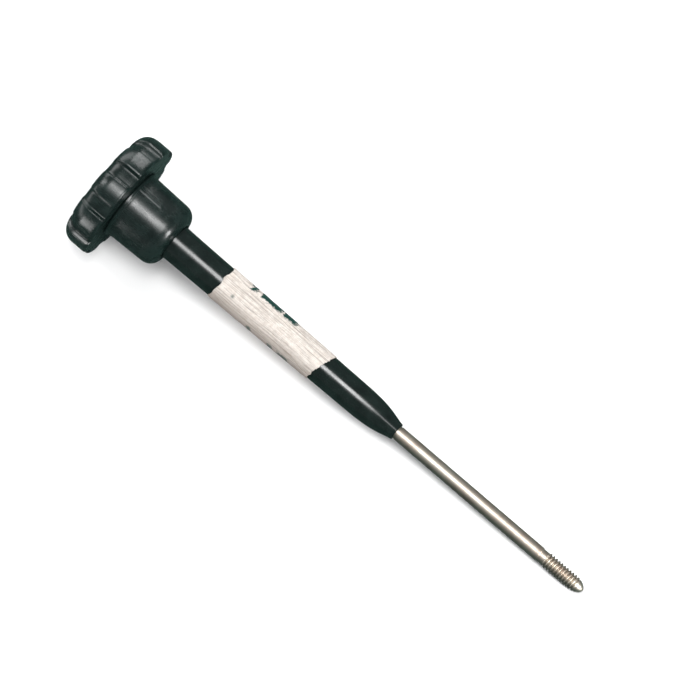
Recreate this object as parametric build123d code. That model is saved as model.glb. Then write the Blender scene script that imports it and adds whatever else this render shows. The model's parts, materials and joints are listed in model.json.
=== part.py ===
from build123d import *
import math
import os

# Knob-driven hand tool with a free-turning grip sleeve and a threaded tip.
# Every piece is drawn along the tool's axis, +X, from the knob's top face at x = 0 to the
# tip, in millimetres. The finished tool is then laid down as it rests: on two of the knob's
# lobes and on the threaded tip.

# Knob
KNOB_R = 20.1  # over the lobes
KNOB_THICK = 9.8
LOBES = 10
LOBE_ANGLE = 20.5  # degrees of rim that each lobe takes
LOBE_CROWN = 10.5
VALLEY_DEPTH = 1.55
VALLEY_CORNER = 0.4
TOP_ROUND = 4.6
RIM_ROUND = 1.8
CAP_SEAT_R = 8.0
CAP_SEAT_DEPTH = 1.5
POCKET_R = 6.6
POCKET_DEPTH = 8.2

# Hub under the knob
HUB_ROOT_R = 10.95
HUB_END_R = 10.4
HUB_END_X = 27.6
HUB_CORNER = 4.0
MOUTH_R = 6.1
MOUTH_FLOOR_X = 20.6
RING_R = 11.6
RING_WIDTH = 1.1

# Spindle
BEARING_R = 2.05  # under the sleeve
SHANK_R = 2.25  # the bare rod ahead of the sleeve
SHANK_X = 115.0
REAR_THREAD_R = 2.0  # plain cylinder just inside the crests of a No. 8-32 thread
REAR_END_X = 2.8
NECK_R = 2.05
NECK_X = 169.7
THREAD_X = 172.4
THREAD_R = 2.413  # No. 10-24
THREAD_ROOT_R = 1.78
THREAD_PITCH = 1.058
THREAD_LENGTH = 12.0
TIP_X = 186.4
TIP_ROUND_X = 183.0
TIP_FLAT_R = 0.4
GROOVE_R = 1.85
SNAP_RING_X = 32.1
SNAP_RING_WIDTH = 0.8

# Nut stack in the knob's pocket: No. 8 sizes
NUT_FLATS = 8.73
NUT_THICK = 3.2
SPRING_WASHER_R = 3.7
SPRING_WASHER_THICK = 1.0
FLAT_WASHER_R = 5.55
FLAT_WASHER_THICK = 1.2
INSERT_FLATS = 9.0
INSERT_WAIST_R = 3.9

# Grip sleeve
SLEEVE_REAR_X = 23.6
SLEEVE_REAR_R = 5.7
SLEEVE_SHOULDER_X = 99.5
SLEEVE_SHOULDER_R = 4.88
NOSE_END_X = 114.4
NOSE_END_R = 2.76
SLEEVE_BORE_R = 3.9
NOSE_BORE_R = 2.45
SEAL_POCKET_END_X = 99.8

# Bushes, liner and seal inside the sleeve
RUNNING_CLEARANCE = 0.04
BUSH_FLANGE_R = 4.9
BUSH_FLANGE_X = 22.6
REAR_BUSH_END_X = 31.3
NOSE_BUSH_X = 90.0
NOSE_BUSH_END_X = 98.0
LINER_BORE_R = 3.3
SEAL_WIRE_R = 0.84

# Washers between the knob and the sleeve
THRUST_WASHER_R = 5.0
THRUST_WASHER_THICK = 0.8
WAVE_WASHER_R = 4.4
WAVE_WASHER_THICK = 0.9
KEEPER_WASHER_R = 3.1
KEEPER_WASHER_THICK = 0.6

# Tape wrapped round the sleeve
TAPE_X = 46.6
TAPE_END_X = 85.3
TAPE_THICK = 0.18

ALONG_X = Plane.YZ  # its normal is the tool's axis


def ring(start_x, end_x, outer_r, inner_r):
    """A plain ring round the axis."""
    outline = Circle(outer_r) - Circle(inner_r)
    return extrude(ALONG_X.offset(start_x) * outline, end_x - start_x)


def rod(start_x, end_x, radius):
    """A plain solid cylinder on the axis."""
    return extrude(ALONG_X.offset(start_x) * Circle(radius), end_x - start_x)


def turned(*corners):
    """A solid turned about the axis from straight-sided corners, each (x, radius)."""
    outline = make_face(Polyline(*corners, close=True))
    return revolve(outline, Axis.X)


def sleeve_r(x):
    """Outer radius of the tapered part of the sleeve."""
    share = (x - SLEEVE_REAR_X) / (SLEEVE_SHOULDER_X - SLEEVE_REAR_X)
    return SLEEVE_REAR_R + share * (SLEEVE_SHOULDER_R - SLEEVE_REAR_R)


def knob_envelope():
    """The knob and hub without lobes: a disc with a rounded rim and a drafted hub."""
    hub_slope = (HUB_ROOT_R - HUB_END_R) / (HUB_END_X - KNOB_THICK)
    corner_x = HUB_END_X - HUB_CORNER
    corner_r = HUB_ROOT_R - hub_slope * (corner_x - KNOB_THICK)
    ring_end_x = KNOB_THICK + RING_WIDTH
    rim_end_x = KNOB_THICK - RIM_ROUND
    with BuildSketch(Plane.XY) as outline:
        with BuildLine():
            Line((0, 0), (0, KNOB_R - TOP_ROUND))
            RadiusArc((0, KNOB_R - TOP_ROUND), (TOP_ROUND, KNOB_R), TOP_ROUND)
            Line((TOP_ROUND, KNOB_R), (rim_end_x, KNOB_R))
            RadiusArc((rim_end_x, KNOB_R), (KNOB_THICK, KNOB_R - RIM_ROUND), RIM_ROUND)
            Line((KNOB_THICK, KNOB_R - RIM_ROUND), (KNOB_THICK, HUB_ROOT_R))
            Line((KNOB_THICK, HUB_ROOT_R), (ring_end_x, HUB_ROOT_R))
            Line((ring_end_x, HUB_ROOT_R), (corner_x, corner_r))
            RadiusArc((corner_x, corner_r), (HUB_END_X, corner_r - HUB_CORNER), HUB_CORNER)
            Line((HUB_END_X, corner_r - HUB_CORNER), (HUB_END_X, 0))
            Line((HUB_END_X, 0), (0, 0))
        make_face()
    return revolve(outline.sketch, Axis.X)


def lobed_outline():
    """A round core with crowned lobes on it, their corners rounded."""
    half_width = KNOB_R * math.sin(math.radians(LOBE_ANGLE / 2))
    crown = Location((KNOB_R - LOBE_CROWN, 0)) * Circle(LOBE_CROWN)
    lobe = crown & (Location((KNOB_R - 2.5, 0)) * Rectangle(5, 2 * half_width))
    outline = Circle(KNOB_R - VALLEY_DEPTH) + lobe_places(lobe)
    return fillet(outline.vertices(), VALLEY_CORNER)


def lobe_places(lobe):
    """The lobe, repeated evenly round the rim."""
    places = PolarLocations(0, LOBES, start_angle=180 / LOBES)
    return [place * lobe for place in places]


def knob_body():
    """Moulded knob: lobed disc and hub, a nut pocket on top and a mouth for the sleeve."""
    lobed_disc = extrude(ALONG_X * lobed_outline(), KNOB_THICK)
    hub_room = rod(KNOB_THICK, HUB_END_X, HUB_ROOT_R)
    body = knob_envelope() & (lobed_disc + hub_room)
    body -= rod(0, CAP_SEAT_DEPTH, CAP_SEAT_R)
    body -= rod(0, POCKET_DEPTH, POCKET_R)
    body -= rod(MOUTH_FLOOR_X, HUB_END_X, MOUTH_R)
    return body - insert_blank()


def insert_blank():
    """Outside of the insert: a hexagon with a waist that locks it in the moulding."""
    length = MOUTH_FLOOR_X - POCKET_DEPTH
    hexagon = RegularPolygon(INSERT_FLATS / 2, 6, major_radius=False)
    blank = extrude(ALONG_X.offset(POCKET_DEPTH) * hexagon, length)
    waist_x = POCKET_DEPTH + length * 0.4
    return blank - ring(waist_x, waist_x + length * 0.2, INSERT_FLATS, INSERT_WAIST_R)


def knob_insert():
    return insert_blank() - rod(POCKET_DEPTH, MOUTH_FLOOR_X, REAR_THREAD_R)


def spindle():
    """Steel rod with a thread at each end, a neck behind the tip thread and a ring groove."""
    groove_end_x = SNAP_RING_X + SNAP_RING_WIDTH
    chamfer = 0.4
    with BuildSketch(Plane.XY) as outline:
        with BuildLine():
            Polyline(
                (TIP_X, 0),
                (REAR_END_X, 0),
                (REAR_END_X, REAR_THREAD_R - chamfer),
                (REAR_END_X + chamfer, REAR_THREAD_R),
                (MOUTH_FLOOR_X, REAR_THREAD_R),
                (MOUTH_FLOOR_X, BEARING_R),
                (SNAP_RING_X, BEARING_R),
                (SNAP_RING_X, GROOVE_R),
                (groove_end_x, GROOVE_R),
                (groove_end_x, BEARING_R),
                (SHANK_X, BEARING_R),
                (SHANK_X, SHANK_R),
                (NECK_X, SHANK_R),
                (NECK_X + SHANK_R - NECK_R, NECK_R),
                (THREAD_X - THREAD_R + NECK_R, NECK_R),
                (THREAD_X, THREAD_R),
                (TIP_ROUND_X, THREAD_R),
            )
            Spline(
                (TIP_ROUND_X, THREAD_R),
                (TIP_X - 1.1, THREAD_R * 0.61),
                (TIP_X, TIP_FLAT_R),
                tangents=[(1, 0), (0.35, -1)],
            )
            Line((TIP_X, TIP_FLAT_R), (TIP_X, 0))
        make_face()
    return revolve(outline.sketch, Axis.X) - thread_groove()


def thread_groove():
    """The helical groove of the tip thread, wide at the outside and narrow at the root."""
    outside_r = THREAD_R + 0.05
    half_root = THREAD_PITCH / 16
    half_outside = half_root + (outside_r - THREAD_ROOT_R) * math.tan(math.radians(30))
    path = Helix(THREAD_PITCH, THREAD_LENGTH, THREAD_ROOT_R)
    with BuildSketch(-Plane.XZ) as profile:
        Polygon(
            (THREAD_ROOT_R, -half_root),
            (outside_r, -half_outside),
            (outside_r, half_outside),
            (THREAD_ROOT_R, half_root),
            align=None,
        )
    groove = sweep(profile.sketch, path=path, is_frenet=True)
    return Location((THREAD_X - 0.3, 0, 0), (0, 90, 0)) * groove


def knob_cap():
    """Press-in cover over the nut: a disc with a skirt."""
    skirt_wall = 0.8
    skirt_end_x = CAP_SEAT_DEPTH + 1.8
    recess = 0.2
    disc = rod(recess, CAP_SEAT_DEPTH, CAP_SEAT_R)
    return disc + ring(CAP_SEAT_DEPTH, skirt_end_x, POCKET_R, POCKET_R - skirt_wall)


def hub_ring():
    return ring(KNOB_THICK, KNOB_THICK + RING_WIDTH, RING_R, HUB_ROOT_R)


def nut_stack():
    """The nut, spring washer and flat washer that clamp the spindle to the insert."""
    washer_x = POCKET_DEPTH - FLAT_WASHER_THICK
    spring_x = washer_x - SPRING_WASHER_THICK
    nut_x = spring_x - NUT_THICK
    hexagon = RegularPolygon(NUT_FLATS / 2, 6, major_radius=False) - Circle(REAR_THREAD_R)
    nut = extrude(ALONG_X.offset(nut_x) * hexagon, NUT_THICK)
    split = Location((spring_x, 0, 2.9)) * Rotation(12, 0, 0) * Box(6, 0.6, 2.6)
    spring = ring(spring_x, washer_x, SPRING_WASHER_R, REAR_THREAD_R + 0.05) - split
    washer = ring(washer_x, POCKET_DEPTH, FLAT_WASHER_R, REAR_THREAD_R + 0.25)
    return {"lock_nut": nut, "spring_washer": spring, "flat_washer": washer}


def sleeve_washers():
    """Washers and the snap ring that hold the sleeve lengthwise on the spindle."""
    thrust_end_x = MOUTH_FLOOR_X + THRUST_WASHER_THICK
    loose_r = BEARING_R + 0.1
    snap_end_x = SNAP_RING_X + SNAP_RING_WIDTH
    snap = ring(SNAP_RING_X, snap_end_x, 2.75, GROOVE_R)
    snap -= Location((SNAP_RING_X, 0, -2.4)) * Box(4, 1.0, 2.0)
    return {
        "thrust_washer": ring(MOUTH_FLOOR_X, thrust_end_x, THRUST_WASHER_R, loose_r),
        "wave_washer": ring(thrust_end_x, thrust_end_x + WAVE_WASHER_THICK, WAVE_WASHER_R, loose_r),
        "keeper_washer": ring(SNAP_RING_X - KEEPER_WASHER_THICK, SNAP_RING_X, KEEPER_WASHER_R, loose_r),
        "snap_ring": snap,
    }


def grip_sleeve():
    """Tapered sleeve with a bored inside and a rounded nose that closes on the spindle."""
    taper = (SLEEVE_SHOULDER_R - SLEEVE_REAR_R) / (SLEEVE_SHOULDER_X - SLEEVE_REAR_X)
    with BuildSketch(Plane.XY) as outline:
        with BuildLine():
            Polyline(
                (NOSE_END_X, NOSE_END_R),
                (NOSE_END_X, NOSE_BORE_R),
                (SEAL_POCKET_END_X, NOSE_BORE_R),
                (SEAL_POCKET_END_X, SLEEVE_BORE_R),
                (SLEEVE_REAR_X, SLEEVE_BORE_R),
                (SLEEVE_REAR_X, SLEEVE_REAR_R),
                (SLEEVE_SHOULDER_X, SLEEVE_SHOULDER_R),
            )
            Spline(
                (SLEEVE_SHOULDER_X, SLEEVE_SHOULDER_R),
                (108.4, 4.12),
                (111.9, 3.28),
                (NOSE_END_X, NOSE_END_R),
                tangents=[(1, taper), (1, -0.2)],
            )
        make_face()
    return revolve(outline.sketch, Axis.X)


def bush(flange_x, body_x, end_x):
    """A bronze bush that runs on the shank, with a flange where flange_x is before body_x."""
    bore_r = BEARING_R + RUNNING_CLEARANCE
    body = ring(body_x, end_x, SLEEVE_BORE_R, bore_r)
    if flange_x < body_x:
        body += ring(flange_x, body_x, BUSH_FLANGE_R, bore_r)
    return body


def nose_seal():
    """Rubber ring in the pocket ahead of the nose bush."""
    centre_r = BEARING_R + RUNNING_CLEARANCE / 2 + SEAL_WIRE_R
    section = Location((NOSE_BUSH_END_X + 0.05 + SEAL_WIRE_R, centre_r)) * Circle(SEAL_WIRE_R)
    return revolve(section, Axis.X)


def tape_label():
    """Tape wound closely round the tapered sleeve."""
    start_r, end_r = sleeve_r(TAPE_X), sleeve_r(TAPE_END_X)
    return turned(
        (TAPE_X, start_r),
        (TAPE_END_X, end_r),
        (TAPE_END_X, end_r + TAPE_THICK),
        (TAPE_X, start_r + TAPE_THICK),
    )


def pieces():
    """Every piece by name, along the tool's axis."""
    return {
        "knob_body": knob_body(),
        "knob_cap": knob_cap(),
        "knob_insert": knob_insert(),
        "hub_ring": hub_ring(),
        "spindle": spindle(),
        **nut_stack(),
        **sleeve_washers(),
        "grip_sleeve": grip_sleeve(),
        "liner_tube": ring(REAR_BUSH_END_X, NOSE_BUSH_X, SLEEVE_BORE_R, LINER_BORE_R),
        "rear_bush": bush(BUSH_FLANGE_X, SLEEVE_REAR_X, REAR_BUSH_END_X),
        "nose_bush": bush(NOSE_BUSH_X, NOSE_BUSH_X, NOSE_BUSH_END_X),
        "nose_seal": nose_seal(),
        "tape_label": tape_label(),
    }


def resting_place(parts):
    """The move that lays the tool on the plane z = 0, with its box centred on the Z axis."""
    half_lobe = Rotation(180 / LOBES, 0, 0)
    tilt = 5.0
    for _ in range(4):
        lying = Rotation(0, tilt, 0) * half_lobe
        knob_low = (lying * parts["knob_body"]).bounding_box().min.Z
        tip_low = (lying * parts["spindle"]).bounding_box().min.Z
        tilt += math.degrees(math.asin((tip_low - knob_low) / TIP_X))
    lying = Rotation(0, tilt, 0) * half_lobe
    box = Compound([lying * part for part in parts.values()]).bounding_box()
    centre = box.center()
    move = Location((-centre.X, -centre.Y, -box.min.Z)) * lying
    print("tilt", round(tilt, 4), "box", box.size)
    print("knob top centre", (move * Location((0, 0, 0))).position)
    print("tip", (move * Location((TIP_X, 0, 0))).position)
    return move


parts = pieces()
place = resting_place(parts)
os.makedirs("parts", exist_ok=True)
for name, part in parts.items():
    export_step(place * part, f"parts/{name}.step")
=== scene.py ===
import json
import math

import bmesh
import bpy
from mathutils import Matrix, Vector, noise


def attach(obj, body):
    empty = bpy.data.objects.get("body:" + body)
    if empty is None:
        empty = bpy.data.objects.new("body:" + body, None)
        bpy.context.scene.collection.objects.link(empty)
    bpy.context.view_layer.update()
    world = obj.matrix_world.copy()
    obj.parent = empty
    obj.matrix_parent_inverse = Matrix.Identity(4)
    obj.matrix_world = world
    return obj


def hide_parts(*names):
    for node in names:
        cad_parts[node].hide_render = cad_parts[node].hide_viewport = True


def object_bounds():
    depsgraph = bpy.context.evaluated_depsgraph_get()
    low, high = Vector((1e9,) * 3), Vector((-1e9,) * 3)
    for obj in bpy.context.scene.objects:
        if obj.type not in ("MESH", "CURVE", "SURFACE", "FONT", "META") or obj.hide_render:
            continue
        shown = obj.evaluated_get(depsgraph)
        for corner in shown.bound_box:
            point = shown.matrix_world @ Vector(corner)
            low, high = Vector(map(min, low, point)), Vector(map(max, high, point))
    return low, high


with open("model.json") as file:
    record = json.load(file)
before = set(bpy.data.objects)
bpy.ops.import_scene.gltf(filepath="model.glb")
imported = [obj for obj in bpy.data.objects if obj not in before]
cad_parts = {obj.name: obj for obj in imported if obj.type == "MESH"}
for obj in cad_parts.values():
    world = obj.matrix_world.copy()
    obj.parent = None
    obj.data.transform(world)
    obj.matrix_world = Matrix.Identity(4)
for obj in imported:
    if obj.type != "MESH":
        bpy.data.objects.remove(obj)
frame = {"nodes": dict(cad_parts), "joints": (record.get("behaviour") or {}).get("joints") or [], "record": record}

# The tool's own frame, in millimetres: x runs along its axis from the knob's top face to the
# tip. Angles turn about the axis from straight up towards +Y, in degrees.
cad_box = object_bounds()
MM = 0.001
JOINT = frame["joints"][0]
AXIS = Vector(JOINT["axis"]).normalized()
KNOB_TOP = next(m for m in frame["record"]["mounts"] if m["name"] == "knob_top")
ON_AXIS = Vector(JOINT["pos_m"])
TOP = ON_AXIS + AXIS * AXIS.dot(Vector(KNOB_TOP["pos_m"]) - ON_AXIS)
UP = (Vector((0, 0, 1)) - AXIS * AXIS.z).normalized()
SIDE = UP.cross(AXIS)
TOOL = Matrix.Translation(TOP) @ Matrix((AXIS, SIDE, UP)).transposed().to_4x4()

# Sizes along the axis and radii, as on the CAD pieces
KNOB_R = 20.1
KNOB_THICK = 9.8
LOBES = 10
LOBE_ANGLE = 20.5
LOBE_CROWN = 10.5
VALLEY_DEPTH = 1.55
TOP_ROUND = 4.5
RIM_ROUND = 0.9
CAP_R = 8.0
CAP_DEPTH = 1.5
POCKET_R = 6.6
POCKET_DEPTH = 8.2
INSERT_R = 4.5
HUB_ROOT_R = 10.95
HUB_END_R = 10.4
HUB_END_X = 27.6
HUB_CORNER = 4.0
MOUTH_R = 6.1
MOUTH_FLOOR_X = 20.6
RING_R = 11.6
RING_WIDTH = 1.1
SLEEVE_REAR_X = 23.6
SLEEVE_REAR_R = 5.7
SHOULDER_X = 99.5
SHOULDER_R = 4.88
NOSE_X = 114.4
NOSE_R = 2.74
SLEEVE_BORE_R = 3.9
NOSE_BORE_R = 2.45
SEAL_POCKET_X = 99.8
SHANK_R = 2.25
REAR_THREAD_R = 2.0
BEARING_R = 2.05
SHANK_X = 115.0
REAR_END_X = 2.8
NECK_X = 169.7
NECK_R = 2.05
THREAD_X = 172.4
THREAD_END_X = 184.6
THREAD_R = 2.413
THREAD_ROOT_R = 1.8
THREAD_PITCH = 1.058
BULLET_X = 182.4
TIP_X = 186.4
TAPE_X = 46.4
TAPE_END_X = 85.1
TAPE_THICK = 0.16
TAPE_AROUND = 360
TAPE_LAP = 26
TAPE_OUTER_R = 5.45

# The camera: how far the tip end leans towards it, and which side of the tool faces it
LEAN = 5.5
FACING = -16.5
CAMERA_M = 2.0
ACROSS_M = 0.2065
AXIS_ON_SCREEN = -40.5
AIM_X = 88.1
AIM_ASIDE = 9.4


def sweep_angle(angle):
    """The outward direction at an angle about the tool's axis, in the row frame."""
    a = math.radians(angle)
    return UP * math.cos(a) + SIDE * math.sin(a)


# ---------------------------------------------------------------- outlines and meshes


def rounded(corners, steps=5):
    """An outline through (x, r, round) corners, each corner rounded by a curve of that size."""
    points = []
    count = len(corners)
    for i, (x, r, size) in enumerate(corners):
        here = Vector((x, r))
        if size == 0:
            points.append((x, r))
            continue
        before = (Vector(corners[i - 1][:2]) - here).normalized()
        after = (Vector(corners[(i + 1) % count][:2]) - here).normalized()
        half = before.angle(after) / 2
        reach = size / math.tan(half)
        start, end = here + before * reach, here + after * reach
        middle = here + (before + after).normalized() * (size / math.sin(half))
        first = start - middle
        turn = first.angle_signed(end - middle)
        for k in range(steps + 1):
            a = -turn * k / steps
            spoke = Vector((
                first.x * math.cos(a) - first.y * math.sin(a),
                first.x * math.sin(a) + first.y * math.cos(a),
            ))
            points.append(tuple(middle + spoke))
    return points


def filled(points, step):
    """The outline again, with its long straight stretches divided."""
    dense = []
    for a, b in zip(points, points[1:]):
        parts = max(1, math.ceil(math.dist(a, b) / step))
        for k in range(parts):
            share = k / parts
            dense.append((a[0] + (b[0] - a[0]) * share, a[1] + (b[1] - a[1]) * share))
    dense.append(points[-1])
    return dense


def bezier(p0, p1, p2, p3, steps):
    """Points of a cubic curve, without its start."""
    points = []
    for i in range(1, steps + 1):
        t = i / steps
        s = 1 - t
        weights = (s**3, 3 * s * s * t, 3 * s * t * t, t**3)
        points.append(tuple(
            sum(w * p[k] for w, p in zip(weights, (p0, p1, p2, p3))) for k in range(2)
        ))
    return points


def place(x, r, angle):
    """A point of the tool's frame, in the row frame and in metres."""
    a = math.radians(angle)
    return TOOL @ Vector((x * MM, r * MM * math.sin(a), r * MM * math.cos(a)))


def grid_piece(name, rows, body, loop=False, seam=False):
    """A mesh from rows of points round the axis. loop joins the last row to the first, and
    otherwise each end is closed by a pole. seam leaves the rows open."""
    vertices = [p for row in rows for p in row]
    count, width = len(rows), len(rows[0])
    faces = []
    for i in range(count if loop else count - 1):
        j = (i + 1) % count
        for k in range(width - 1 if seam else width):
            m = (k + 1) % width
            faces.append((i * width + k, i * width + m, j * width + m, j * width + k))
    if not loop and not seam:
        for row, flip in ((0, False), (count - 1, True)):
            pole = len(vertices)
            vertices.append(sum(rows[row], Vector()) / width)
            for k in range(width):
                a, b = row * width + k, row * width + (k + 1) % width
                faces.append((pole, a, b) if flip else (pole, b, a))
    mesh = bpy.data.meshes.new(name)
    mesh.from_pydata(vertices, [], faces)
    mesh.update()
    piece = bpy.data.objects.new(name, mesh)
    bpy.context.scene.collection.objects.link(piece)
    for polygon in mesh.polygons:
        polygon.use_smooth = True
    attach(piece, body)
    return piece


def outward(piece):
    """Turns the faces of a closed piece outward."""
    mesh = bmesh.new()
    mesh.from_mesh(piece.data)
    bmesh.ops.recalc_face_normals(mesh, faces=mesh.faces)
    mesh.to_mesh(piece.data)
    mesh.free()
    return piece


def sharpen(piece, angle=38):
    """Keeps edges sharper than an angle crisp and the rest smooth."""
    mesh = piece.data
    limit = math.radians(angle)
    faces_of = {}
    for polygon in mesh.polygons:
        for key in polygon.edge_keys:
            faces_of.setdefault(key, []).append(polygon.normal)
    for edge in mesh.edges:
        sides = faces_of.get(edge.key, [])
        if len(sides) == 2 and sides[0].length and sides[1].length:
            edge.use_edge_sharp = sides[0].angle(sides[1], 0) > limit
    return piece


def turned(name, outline, body, columns=96, loop=True, wobble=None):
    """A turned piece. wobble(x, r, angle) gives what is added to the radius."""
    rows = []
    for x, r in outline:
        row = []
        for k in range(columns):
            angle = 360 * k / columns
            extra = wobble(x, r, angle) if wobble else 0
            row.append(place(x, r + extra, angle))
        rows.append(row)
    return sharpen(outward(grid_piece(name, rows, body, loop)))


# ---------------------------------------------------------------- knob


def lobed_columns(inset):
    """The lobed rim's outline as (angle, radius), moved inward by inset.

    Each lobe is a gentle bulge with tight corners, and each valley has a nearly level floor.
    """
    half_lobe, pitch = LOBE_ANGLE / 2, 360 / LOBES
    centre = KNOB_R - LOBE_CROWN
    profile = []
    for k in range(9):
        a = math.radians(half_lobe * 0.955 * k / 8)
        profile.append((math.degrees(a), centre * math.cos(a)
                        + math.sqrt(LOBE_CROWN**2 - (centre * math.sin(a)) ** 2)))
    edge = profile[-1][1]
    floor = KNOB_R - VALLEY_DEPTH
    profile += [
        (half_lobe * 0.985, edge - 0.09),
        (half_lobe * 1.01, edge - 0.3),
        (half_lobe * 1.075, floor + 0.3),
        (half_lobe * 1.12, floor + 0.09),
        (half_lobe * 1.19, floor),
        (half_lobe * 1.4, floor),
        (half_lobe * 1.6, floor),
    ]
    lobe = [(-a, r) for a, r in reversed(profile[1:])] + profile
    columns = []
    for n in range(LOBES):
        for a, r in lobe:
            columns.append((pitch * (n + 0.5) + a, r - inset))
    return columns


def knob():
    """Moulded knob and hub in one piece, hollow for the nut and for the sleeve's end."""
    slope = (HUB_ROOT_R - HUB_END_R) / (HUB_END_X - KNOB_THICK)
    ring_end = KNOB_THICK + RING_WIDTH
    inside = rounded([
        (POCKET_DEPTH, INSERT_R, 0),
        (MOUTH_FLOOR_X, INSERT_R, 0),
        (MOUTH_FLOOR_X, MOUTH_R, 0.3),
        (HUB_END_X, MOUTH_R, 0.35),
        (HUB_END_X, HUB_END_R, HUB_CORNER),
        (ring_end + 0.8, HUB_ROOT_R - slope * (RING_WIDTH + 0.8), 0),
        (ring_end + 0.35, HUB_ROOT_R + 0.03, 0),
        (ring_end + 0.08, HUB_ROOT_R + 0.2, 0),
        (ring_end, HUB_ROOT_R + 0.42, 0),
        (KNOB_THICK + 0.1, HUB_ROOT_R + 0.42, 0),
        (KNOB_THICK + 0.1, HUB_ROOT_R - 0.1, 0),
        (KNOB_THICK, HUB_ROOT_R, 0),
    ], steps=8)
    rim = [(KNOB_THICK, RIM_ROUND + 0.9), (KNOB_THICK, RIM_ROUND + 0.25)]
    for k in range(9):
        a = math.radians(90 * k / 8)
        rim.append((
            KNOB_THICK - RIM_ROUND + RIM_ROUND * math.cos(a),
            RIM_ROUND - RIM_ROUND * math.sin(a),
        ))
    for k in range(1, 6):
        rim.append((KNOB_THICK - RIM_ROUND + (RIM_ROUND + TOP_ROUND - KNOB_THICK) * k / 6, 0))
    for k in range(13):
        a = math.radians(90 * k / 12)
        rim.append((TOP_ROUND - TOP_ROUND * math.sin(a), TOP_ROUND - TOP_ROUND * math.cos(a)))
    rim += [(0, TOP_ROUND + 0.25), (0, TOP_ROUND + 0.9)]
    top = rounded([
        (0, CAP_R + 3.0, 0),
        (0, CAP_R, 0.3),
        (CAP_DEPTH, CAP_R, 0),
        (CAP_DEPTH, POCKET_R, 0),
        (POCKET_DEPTH, POCKET_R, 0),
    ], steps=4)
    column_angles = [a for a, _ in lobed_columns(0)]
    rows = []
    for x, r in filled(inside, 1.2):
        rows.append([place(x, r, a) for a in column_angles])
    for x, inset in rim:
        rows.append([place(x, r, a) for a, r in lobed_columns(inset)])
    for x, r in top:
        rows.append([place(x, r, a) for a in column_angles])
    piece = sharpen(outward(grid_piece("knob", rows, "driver", loop=True)))
    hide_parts("knob_body")
    return piece


def knob_cap():
    """Slightly domed cover pressed into the knob's top."""
    corners = [
        (CAP_DEPTH + 1.8, POCKET_R - 0.8, 0),
        (CAP_DEPTH + 1.8, POCKET_R - 0.02, 0.2),
        (CAP_DEPTH, POCKET_R - 0.02, 0),
        (CAP_DEPTH, CAP_R - 0.06, 0.15),
        (0.35, CAP_R - 0.06, 0.3),
        (0.35, CAP_R - 1.6, 0.1),
        (0.6, CAP_R - 2.0, 0.1),
        (0.35, CAP_R - 2.4, 0.1),
        (0.12, 0.6, 0),
    ]
    outline = filled(rounded(corners, 4), 0.8) + [(CAP_DEPTH, 0.6), (CAP_DEPTH, POCKET_R - 0.8)]
    piece = turned("cap", outline, "driver", columns=120, loop=True)
    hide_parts("knob_cap")
    return piece


def hub_ring():
    """Rounded ring round the hub's root."""
    end = KNOB_THICK + RING_WIDTH
    outline = rounded([
        (KNOB_THICK + 0.04, HUB_ROOT_R - 0.06, 0),
        (KNOB_THICK + 0.04, RING_R, 0.3),
        (end, RING_R, 0.45),
        (end, HUB_ROOT_R - 0.06, 0),
    ], steps=6)
    piece = turned("hub_collar", outline, "driver", columns=160)
    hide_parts("hub_ring")
    return piece


# ---------------------------------------------------------------- sleeve and tape


def sleeve_r(x):
    """The sleeve's radius where it tapers, ahead of the hub."""
    share = (x - SLEEVE_REAR_X) / (SHOULDER_X - SLEEVE_REAR_X)
    return SLEEVE_REAR_R + share * (SHOULDER_R - SLEEVE_REAR_R)


def sleeve():
    """Black tapered sleeve with a rounded nose."""
    outside = rounded([
        (SLEEVE_REAR_X, SLEEVE_BORE_R, 0),
        (SLEEVE_REAR_X, SLEEVE_REAR_R, 0.4),
        (SHOULDER_X, SHOULDER_R, 0),
    ])
    outside = filled(outside, 2.0)
    outside += bezier((SHOULDER_X, SHOULDER_R), (109.4, 4.75), (110.9, 3.3), (NOSE_X, NOSE_R), 26)
    inside = [
        (NOSE_X + 0.05, (NOSE_R + NOSE_BORE_R) / 2),
        (NOSE_X - 0.05, NOSE_BORE_R),
        (SEAL_POCKET_X, NOSE_BORE_R),
        (SEAL_POCKET_X, SLEEVE_BORE_R),
    ]

    def wobble(x, r, angle):
        if r < SLEEVE_BORE_R + 0.2 and x < SEAL_POCKET_X:
            return 0
        a = math.radians(angle)
        point = Vector((x * 0.06, math.cos(a) * 1.2, math.sin(a) * 1.2))
        return 0.02 * noise.noise(point)

    piece = turned("sleeve", outside + inside, "grip", columns=120, wobble=wobble)
    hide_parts("grip_sleeve")
    return piece


def ragged(angle, seed):
    """A torn edge: broad teeth with fine fibres on them, about -1 to 1."""
    a = math.radians(angle)
    broad = noise.noise(Vector((math.cos(a) * 1.6, math.sin(a) * 1.6, seed)))
    tooth = noise.noise(Vector((angle * 0.05, seed * 3.1, 0.5)))
    fine = noise.noise(Vector((angle * 0.23, seed * 1.7, 2.5)))
    return 0.8 * broad + 0.9 * tooth + 0.45 * fine


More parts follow.
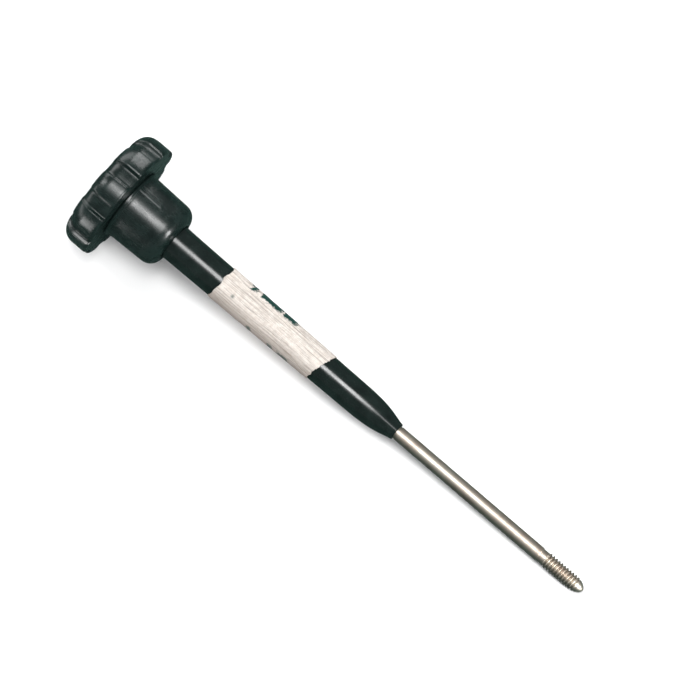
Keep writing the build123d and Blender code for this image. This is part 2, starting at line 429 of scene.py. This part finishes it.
def tape():
    """One strip of fibrous tape wound once round the sleeve, its ends torn."""
    seam = -72 + FACING
    columns, rows_along = 400, 90
    rows = []
    for i in range(rows_along + 1):
        share = i / rows_along
        row = []
        for k in range(columns + 1):
            turn = (TAPE_AROUND + TAPE_LAP) * k / columns
            angle = seam + turn
            facing = math.radians(angle - FACING)
            left = TAPE_X + 0.9 * math.cos(facing - 0.45) - 0.5 + 0.55 * ragged(turn, 1.3)
            right = TAPE_END_X + 1.45 * math.sin(facing) + 0.45 * ragged(turn, 7.7)
            x = left + (right - left) * share
            lift = TAPE_THICK * max(0.0, min(1.0, (turn - TAPE_AROUND + 14) / 16))
            crease = noise.noise(Vector((x * 0.35, math.cos(facing) * 3, math.sin(facing) * 3)))
            fibre = noise.noise(Vector((x * 0.12, turn * 0.28, 4.0)))
            r = sleeve_r(x) + TAPE_THICK + lift + 0.045 * crease + 0.025 * fibre
            row.append(place(x, r, angle))
        rows.append(row)
    piece = grid_piece("tape", rows, "grip", seam=True)
    skin = piece.modifiers.new("thickness", "SOLIDIFY")
    skin.thickness = TAPE_THICK * 0.8 * MM
    skin.offset = -1
    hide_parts("tape_label")
    return piece


# ---------------------------------------------------------------- spindle


def spindle():
    """Steel rod with a helical thread, cut on a blank with a neck and a rounded end."""
    chamfer = 0.35
    tip_fullness = 1.45

    def blank(x):
        if x < MOUTH_FLOOR_X:
            return REAR_THREAD_R
        if x < SHANK_X:
            return BEARING_R
        if x < NECK_X:
            return SHANK_R
        if x < THREAD_X - chamfer:
            down = min(1.0, (x - NECK_X) / chamfer)
            return SHANK_R + (NECK_R - SHANK_R) * down
        if x < THREAD_X:
            return NECK_R + (THREAD_R - NECK_R) * (x - THREAD_X + chamfer) / chamfer
        if x < BULLET_X:
            return THREAD_R
        share = (x - BULLET_X) / (TIP_X - BULLET_X)
        return THREAD_R * math.sqrt(max(0.0, 1 - share**tip_fullness))

    def thread(x, angle):
        turn = ((x - THREAD_X) / THREAD_PITCH - angle / 360) % 1
        flank = abs(turn - 0.5) * 2
        height = max(0.0, min(1.0, (flank - 0.1) / 0.76))
        soft = height * height * (3 - 2 * height) * 0.35 + height * 0.65
        return THREAD_ROOT_R + (THREAD_R - THREAD_ROOT_R) * soft

    places = [REAR_END_X, REAR_END_X + 0.4, MOUTH_FLOOR_X - 0.01, MOUTH_FLOOR_X + 0.01]
    places += [MOUTH_FLOOR_X + 2 * k for k in range(1, 76)]
    places += [SHANK_X - 0.01, SHANK_X + 0.01]
    places += [NECK_X - 0.2 + 0.05 * k for k in range(52)]
    steps = round((TIP_X - THREAD_X) / 0.045)
    places += [THREAD_X - 0.1 + (TIP_X - THREAD_X + 0.1) * k / steps for k in range(1, steps)]
    places += [TIP_X - 0.02, TIP_X - 0.004]
    places = sorted(set(places))
    columns = 72
    rows = []
    for x in places:
        row = []
        for k in range(columns):
            angle = 360 * k / columns
            r = blank(x)
            if THREAD_X - 0.25 < x < THREAD_END_X:
                r = min(r, thread(x, angle))
            row.append(place(x, r, angle))
        rows.append(row)
    piece = outward(grid_piece("rod", rows, "driver"))
    sharpen(piece, 50)
    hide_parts("spindle")
    return piece


# ---------------------------------------------------------------- materials


class Look:
    """A material made of nodes, with textures in the tool's own frame, in millimetres."""

    def __init__(self, name, **settings):
        self.material = bpy.data.materials.new(name)
        self.material.use_nodes = True
        self.tree = self.material.node_tree
        self.shader = self.tree.nodes["Principled BSDF"]
        for socket, value in settings.items():
            self.shader.inputs[socket.replace("_", " ")].default_value = value
        place_node = self.tree.nodes.new("ShaderNodeTexCoord")
        mapping = self.tree.nodes.new("ShaderNodeMapping")
        inverse = TOOL.inverted()
        mapping.inputs["Scale"].default_value = (1 / MM,) * 3
        mapping.inputs["Rotation"].default_value = inverse.to_euler()
        mapping.inputs["Location"].default_value = inverse.translation / MM
        self.tree.links.new(place_node.outputs["Object"], mapping.inputs["Vector"])
        self.place = mapping.outputs["Vector"]

    def node(self, kind, **inputs):
        node = self.tree.nodes.new(kind)
        for name, value in inputs.items():
            self.feed(node.inputs[name.replace("_", " ")], value)
        return node

    def feed(self, socket, value):
        if hasattr(value, "is_output"):
            self.tree.links.new(value, socket)
        else:
            socket.default_value = value

    def stretched(self, scale):
        return self.node("ShaderNodeMapping", Vector=self.place, Scale=scale).outputs["Vector"]

    def noise(self, scale, stretch=(1, 1, 1), detail=4.0, roughness=0.55):
        node = self.node(
            "ShaderNodeTexNoise",
            Vector=self.stretched(stretch),
            Scale=scale,
            Detail=detail,
            Roughness=roughness,
        )
        return node.outputs["Fac"]

    def ramp(self, fac, low, high, start=(0, 0, 0, 1), end=(1, 1, 1, 1)):
        node = self.node("ShaderNodeValToRGB", Fac=fac)
        node.color_ramp.elements[0].position = low
        node.color_ramp.elements[1].position = high
        node.color_ramp.elements[0].color = start
        node.color_ramp.elements[1].color = end
        return node.outputs["Color"]

    def span(self, fac, low, high, start, end):
        node = self.node("ShaderNodeMapRange", Value=fac)
        limits = {"From Min": low, "From Max": high, "To Min": start, "To Max": end}
        for name, value in limits.items():
            node.inputs[name].default_value = value
        return node.outputs["Result"]

    def mix(self, fac, a, b, kind="MIX"):
        node = self.tree.nodes.new("ShaderNodeMix")
        node.data_type = "RGBA"
        node.blend_type = kind
        self.feed(node.inputs[0], fac)
        self.feed(node.inputs[6], a)
        self.feed(node.inputs[7], b)
        return node.outputs[2]

    def math(self, kind, a, b):
        node = self.tree.nodes.new("ShaderNodeMath")
        node.operation = kind
        self.feed(node.inputs[0], a)
        self.feed(node.inputs[1], b)
        return node.outputs["Value"]

    def toward(self, angle, radius):
        """How far a point lies towards an angle about the axis, 1 at that radius."""
        node = self.tree.nodes.new("ShaderNodeVectorMath")
        node.operation = "DOT_PRODUCT"
        a = math.radians(angle)
        self.feed(node.inputs[0], self.place)
        node.inputs[1].default_value = (0, math.sin(a) / radius, math.cos(a) / radius)
        return node.outputs["Value"]

    def along(self):
        return self.node("ShaderNodeSeparateXYZ", Vector=self.place).outputs["X"]

    def window(self, value, low, high, soft):
        """1 between low and high, falling to 0 over the soft distance."""
        rise = self.span(value, low - soft, low, 0.0, 1.0)
        fall = self.span(value, high, high + soft, 1.0, 0.0)
        return self.math("MULTIPLY", rise, fall)

    def bump(self, height, strength, depth_mm):
        node = self.node("ShaderNodeBump", Height=height, Strength=strength)
        node.inputs["Distance"].default_value = depth_mm * MM
        previous = self.shader.inputs["Normal"]
        if previous.is_linked:
            self.feed(node.inputs["Normal"], previous.links[0].from_socket)
        self.feed(previous, node.outputs["Normal"])

    def colour(self, value):
        self.feed(self.shader.inputs["Base Color"], value)

    def rough(self, value):
        self.feed(self.shader.inputs["Roughness"], value)

    def cover(self, *objects):
        for o in objects:
            o.data.materials.clear()
            o.data.materials.append(self.material)


def black_plastic(name, base, level, rough_low, rough_high, grain):
    """Moulded black plastic: slight haze, fine rubs along the tool and dust in the grain."""
    look = Look(name, IOR=1.5, Specular_IOR_Level=level)
    haze = look.noise(0.25, detail=3.0)
    rubs = look.noise(1.4, stretch=(0.25, 2.2, 2.2), detail=6.0, roughness=0.7)
    specks = look.noise(3.4, detail=2.0)
    dark = (*base, 1)
    light = tuple(c * 2.0 + 0.002 for c in base) + (1,)
    hazy = look.ramp(haze, 0.3, 0.75, dark, light)
    look.colour(look.mix(look.ramp(specks, 0.64, 0.85), hazy, (0.04, 0.045, 0.043, 1)))
    blend = look.math("ADD", look.math("MULTIPLY", haze, 0.5), look.math("MULTIPLY", rubs, 0.5))
    look.rough(look.span(blend, 0.35, 0.65, rough_low, rough_high))
    look.bump(look.noise(grain, detail=3.0), 0.25, 0.02)
    look.bump(rubs, 0.12, 0.015)
    return look


def painted_highlight_line(look, angle, start, end, strength):
    """A thin painted highlight along the hub, at an angle about the axis: a narrow lamp's reflection painted into
    the colour, on the side facing that angle.
    """
    beside = look.window(look.toward(angle + 90, 1.0), -0.1, 0.1, 0.2)
    front = look.span(look.toward(angle, 1.0), 0.0, 1.0, 0.0, strength)
    stretch = look.window(look.along(), start, end, 0.8)
    line = look.math("MULTIPLY", look.math("MULTIPLY", beside, front), stretch)
    base = look.shader.inputs["Base Color"].links[0].from_socket
    look.colour(look.mix(line, base, (0.3, 0.31, 0.31, 1)))


def steel():
    """Nickel-plated steel, rubbed lengthwise, warm where worn, with painted shade on its lower side."""
    look = Look("worn_nickel", Metallic=1.0)
    lines = look.noise(2.6, stretch=(0.06, 3.0, 3.0), detail=6.0, roughness=0.7)
    blotch = look.noise(0.22, detail=4.0)
    pits = look.noise(2.2, detail=3.0)
    plated, worn = (0.66, 0.615, 0.53, 1), (0.5, 0.41, 0.34, 1)
    colour = look.mix(look.ramp(blotch, 0.38, 0.68), plated, worn)
    colour = look.mix(look.span(pits, 0.66, 0.84, 0.0, 0.4), colour, (0.2, 0.16, 0.13, 1))
    # Painted shade: the rod's lower side is darkened towards dark grey-green, standing in for the dark ground it
    # reflects; the blotch noise makes the edge uneven.
    side = look.math("ADD", look.toward(FACING - 90, SHANK_R), look.math("MULTIPLY", blotch, 0.3))
    colour = look.mix(look.span(side, 0.42, 0.9, 0.0, 0.5), colour, (0.05, 0.06, 0.05, 1))
    look.colour(colour)
    blend = look.math("ADD", look.math("MULTIPLY", lines, 0.6), look.math("MULTIPLY", blotch, 0.4))
    look.rough(look.span(blend, 0.35, 0.65, 0.4, 0.54))
    look.bump(lines, 0.25, 0.015)
    return look


def tape_paper():
    """Fibrous off-white tape: lengthwise fibres, handling dirt, ink smudges on one side and painted shade towards
    its lower side.
    """
    look = Look("fibrous_tape", Specular_IOR_Level=0.25)
    fibres = look.noise(3.2, stretch=(0.045, 1.7, 1.7), detail=7.0, roughness=0.75)
    threads = look.noise(1.5, stretch=(0.03, 1.5, 1.5), detail=3.0)
    mottle = look.noise(0.8, detail=5.0, roughness=0.65)
    waver = look.math("SUBTRACT", look.noise(0.9, detail=6.0), 0.5)
    ragged_edge = look.math("MULTIPLY", waver, 5.0)
    cream, white, grime_and_shade = (0.61, 0.54, 0.485, 1), (0.82, 0.775, 0.725, 1), (0.2, 0.165, 0.14, 1)
    ink = (0.006, 0.045, 0.036, 1)
    upper_marks = ((54.6, 56.2), (58.4, 65.6), (66.8, 71.4))
    lower_marks = ((60.6, 61.6), (68.6, 70.0), (72.2, 76.4))
    colour = look.mix(look.ramp(mottle, 0.3, 0.7), cream, white)
    colour = look.mix(look.span(fibres, 0.5, 0.62, 0.0, 0.6), colour, grime_and_shade)
    colour = look.mix(look.span(threads, 0.52, 0.6, 0.0, 0.45), colour, grime_and_shade)
    uneven = look.math("MULTIPLY", mottle, 0.25)
    # Painted shade: the tape darkens towards its lower side, where the key light falls off; the same colour also
    # serves as the fibres' dirt.
    lower = look.math("ADD", look.toward(FACING - 90, TAPE_OUTER_R), uneven)
    colour = look.mix(look.span(lower, 0.35, 1.1, 0.0, 0.75), colour, grime_and_shade)
    along = look.math("ADD", look.along(), ragged_edge)
    wavy = look.math("MULTIPLY", ragged_edge, 0.09)
    upper = look.math("ADD", look.toward(FACING + 90, TAPE_OUTER_R), wavy)
    for start, end in upper_marks:
        side = look.span(upper, 0.74, 0.84, 0.0, 1.0)
        mark = look.math("MULTIPLY", look.window(along, start, end, 0.5), side)
        colour = look.mix(mark, colour, ink)
    for start, end in lower_marks:
        side = look.span(lower, 0.98, 1.06, 0.0, 0.75)
        mark = look.math("MULTIPLY", look.window(along, start, end, 0.5), side)
        colour = look.mix(mark, colour, ink)
    spot = look.tree.nodes.new("ShaderNodeVectorMath")
    spot.operation = "DISTANCE"
    look.feed(spot.inputs[0], look.place)
    a = math.radians(FACING - 11)
    spot_x, spot_r = 51.9, 5.6
    spot.inputs[1].default_value = (spot_x, spot_r * math.sin(a), spot_r * math.cos(a))
    look.colour(look.mix(look.span(spot.outputs["Value"], 0.15, 0.85, 0.7, 0.0), colour, ink))
    look.rough(look.span(mottle, 0.3, 0.7, 0.55, 0.8))
    look.bump(fibres, 1.0, 0.16)
    look.bump(threads, 1.0, 0.14)
    return look


def plain_metal(name, colour, low, high, metallic=1.0):
    """Machined inner pieces: fine turning marks and a little staining."""
    look = Look(name, Metallic=metallic)
    marks = look.noise(4.0, stretch=(3.0, 0.15, 0.15), detail=4.0)
    stain = look.noise(0.5, detail=4.0)
    dull = tuple(c * 0.7 for c in colour) + (1,)
    look.colour(look.ramp(stain, 0.35, 0.7, (*colour, 1), dull))
    look.rough(look.span(marks, 0.35, 0.65, low, high))
    look.bump(marks, 0.2, 0.01)
    return look


def floor_look():
    """A floor pale to the camera that shows dark and greenish in glossy reflections."""
    look = Look("pale_floor", Roughness=0.9, Specular_IOR_Level=0.0)
    grain = look.noise(0.02, detail=2.0)
    pale = look.ramp(grain, 0.2, 0.8, (0.86, 0.86, 0.86, 1), (0.88, 0.88, 0.88, 1))
    reflected = look.tree.nodes.new("ShaderNodeLightPath").outputs["Is Glossy Ray"]
    look.colour(look.mix(reflected, pale, (0.05, 0.085, 0.075, 1)))
    return look


# ---------------------------------------------------------------- stage


def panel(name, aim, angle, lean, distance, width, length, radiance):
    """A soft panel facing the aim point, its length along the tool, of an even radiance."""
    tip_lean = math.radians(lean)
    away = sweep_angle(angle) * math.cos(tip_lean) + AXIS * math.sin(tip_lean)
    light = bpy.data.lights.new(name, "AREA")
    light.shape = "RECTANGLE"
    light.size = length
    light.size_y = width
    light.energy = radiance * math.pi * width * length
    lamp = bpy.data.objects.new(name, light)
    bpy.context.scene.collection.objects.link(lamp)
    lamp.visible_camera = False
    back = away.normalized()
    across = back.cross(AXIS).normalized()
    along = across.cross(back)
    turn = Matrix((along, across, back)).transposed()
    lamp.matrix_world = Matrix.Translation(aim + back * distance) @ turn.to_4x4()


def make_lamps():
    """A long key panel with a brighter strip for the sleeve's front, and small panels by the knob.

    Each row has the angle from the camera's side, the lean towards the tip, the distance, the
    width and length, and the radiance.
    """
    middle = TOP + AXIS * 0.095
    knob_rim = TOP + AXIS * 0.005
    over_tool = {
        "key": (10.5, -5.0, 1.5, 0.42, 0.56, 7.8),
        "key_front": (11.0, -5.2, 1.48, 0.6, 0.075, 25.0),
        "key_glow": (9.0, -5.0, 1.6, 1.0, 0.6, 1.3),
    }
    over_knob = {
        "upper_side": (69.0, -8.4, 0.09, 0.07, 0.0085, 12.0),
        "lower_side": (-75.0, -8.4, 0.09, 0.05, 0.0085, 11.0),
        "upper_top": (69.0, -48.0, 0.3, 0.17, 0.3, 3.0),
        "lower_top": (-75.0, -48.0, 0.3, 0.1, 0.3, 2.6),
        "near_top": (3.0, -52.0, 0.6, 0.1, 0.4, 9.0),
        "hub_fill": (12.0, 24.0, 0.6, 0.1, 0.32, 5.0),
        "hub_glint": (12.0, 60.0, 0.6, 0.12, 0.26, 26.0),
    }
    for aim, lamps in ((middle, over_tool), (knob_rim, over_knob)):
        for name, (angle, *rest) in lamps.items():
            panel(name, aim, FACING + angle, *rest)


def make_camera():
    """A long lens over the tool, which runs down to the right in the picture."""
    lean = math.radians(LEAN)
    facing = sweep_angle(FACING)
    aside = facing.cross(AXIS)
    back = AXIS * math.sin(lean) + facing * math.cos(lean)
    along = (AXIS - back * AXIS.dot(back)).normalized()
    roll = math.radians(-AXIS_ON_SCREEN)
    right = along * math.cos(roll) + aside * math.sin(roll)
    upward = back.cross(right)
    data = bpy.data.cameras.new("camera")
    data.sensor_width = 36
    data.lens = 36 * CAMERA_M / ACROSS_M
    data.clip_start, data.clip_end = 0.05, 20
    camera = bpy.data.objects.new("camera", data)
    bpy.context.scene.collection.objects.link(camera)
    aim = TOP + AXIS * AIM_X * MM + aside * AIM_ASIDE * MM
    turn = Matrix((right, upward, back)).transposed()
    camera.matrix_world = Matrix.Translation(aim + back * CAMERA_M) @ turn.to_4x4()
    bpy.context.scene.camera = camera


def make_stage():
    """The floor, the lamps and a dim sky."""
    low = cad_box[0].z
    half = 3.0  # metres
    corners = [(-half, -half, low), (half, -half, low), (half, half, low), (-half, half, low)]
    mesh = bpy.data.meshes.new("floor")
    mesh.from_pydata(corners, [], [(0, 1, 2, 3)])
    floor = bpy.data.objects.new("floor", mesh)
    bpy.context.scene.collection.objects.link(floor)
    floor_look().cover(floor)
    make_lamps()
    world = bpy.data.worlds.new("studio")
    bpy.context.scene.world = world
    world.use_nodes = True
    sky = world.node_tree.nodes["Background"]
    sky.inputs["Color"].default_value = (0.95, 0.98, 1.0, 1)
    sky.inputs["Strength"].default_value = 0.18
    bpy.context.scene.view_settings.view_transform = "Standard"


make_camera()
make_stage()
knob_piece = knob()
cap_piece = knob_cap()
ring_piece = hub_ring()
sleeve_piece = sleeve()
tape_piece = tape()
rod_piece = spindle()

knob_look = black_plastic("knob_black", (0.003, 0.008, 0.007), 0.5, 0.2, 0.34, 2.2)
# Two painted highlight lines on the hub, standing in for the reflections of two narrow lamps.
painted_highlight_line(knob_look, FACING + 27.3, 11.5, 18.6, 0.3)
painted_highlight_line(knob_look, FACING + 37.7, 11.5, 16.0, 0.08)
knob_look.cover(knob_piece, cap_piece)
black_plastic("ring_black", (0.003, 0.008, 0.007), 0.5, 0.14, 0.24, 2.6).cover(ring_piece)
black_plastic("sleeve_black", (0.003, 0.007, 0.006), 0.5, 0.15, 0.25, 1.6).cover(sleeve_piece)
steel().cover(rod_piece)
tape_paper().cover(tape_piece)

nodes = frame["nodes"]
plain_metal("zinc_plate", (0.62, 0.62, 0.62), 0.3, 0.5).cover(
    nodes["lock_nut"], nodes["flat_washer"], nodes["keeper_washer"])
plain_metal("spring_steel", (0.25, 0.24, 0.23), 0.3, 0.5).cover(
    nodes["spring_washer"], nodes["wave_washer"], nodes["snap_ring"])
plain_metal("brass", (0.72, 0.5, 0.22), 0.25, 0.42).cover(nodes["knob_insert"])
plain_metal("bronze", (0.5, 0.3, 0.16), 0.35, 0.55).cover(nodes["rear_bush"], nodes["nose_bush"])
plain_metal("drawn_aluminium", (0.72, 0.72, 0.73), 0.3, 0.5).cover(nodes["liner_tube"])
plain_metal("nylon", (0.7, 0.68, 0.6), 0.45, 0.6, metallic=0.0).cover(nodes["thrust_washer"])
plain_metal("seal_rubber", (0.02, 0.02, 0.02), 0.6, 0.8, metallic=0.0).cover(nodes["nose_seal"])
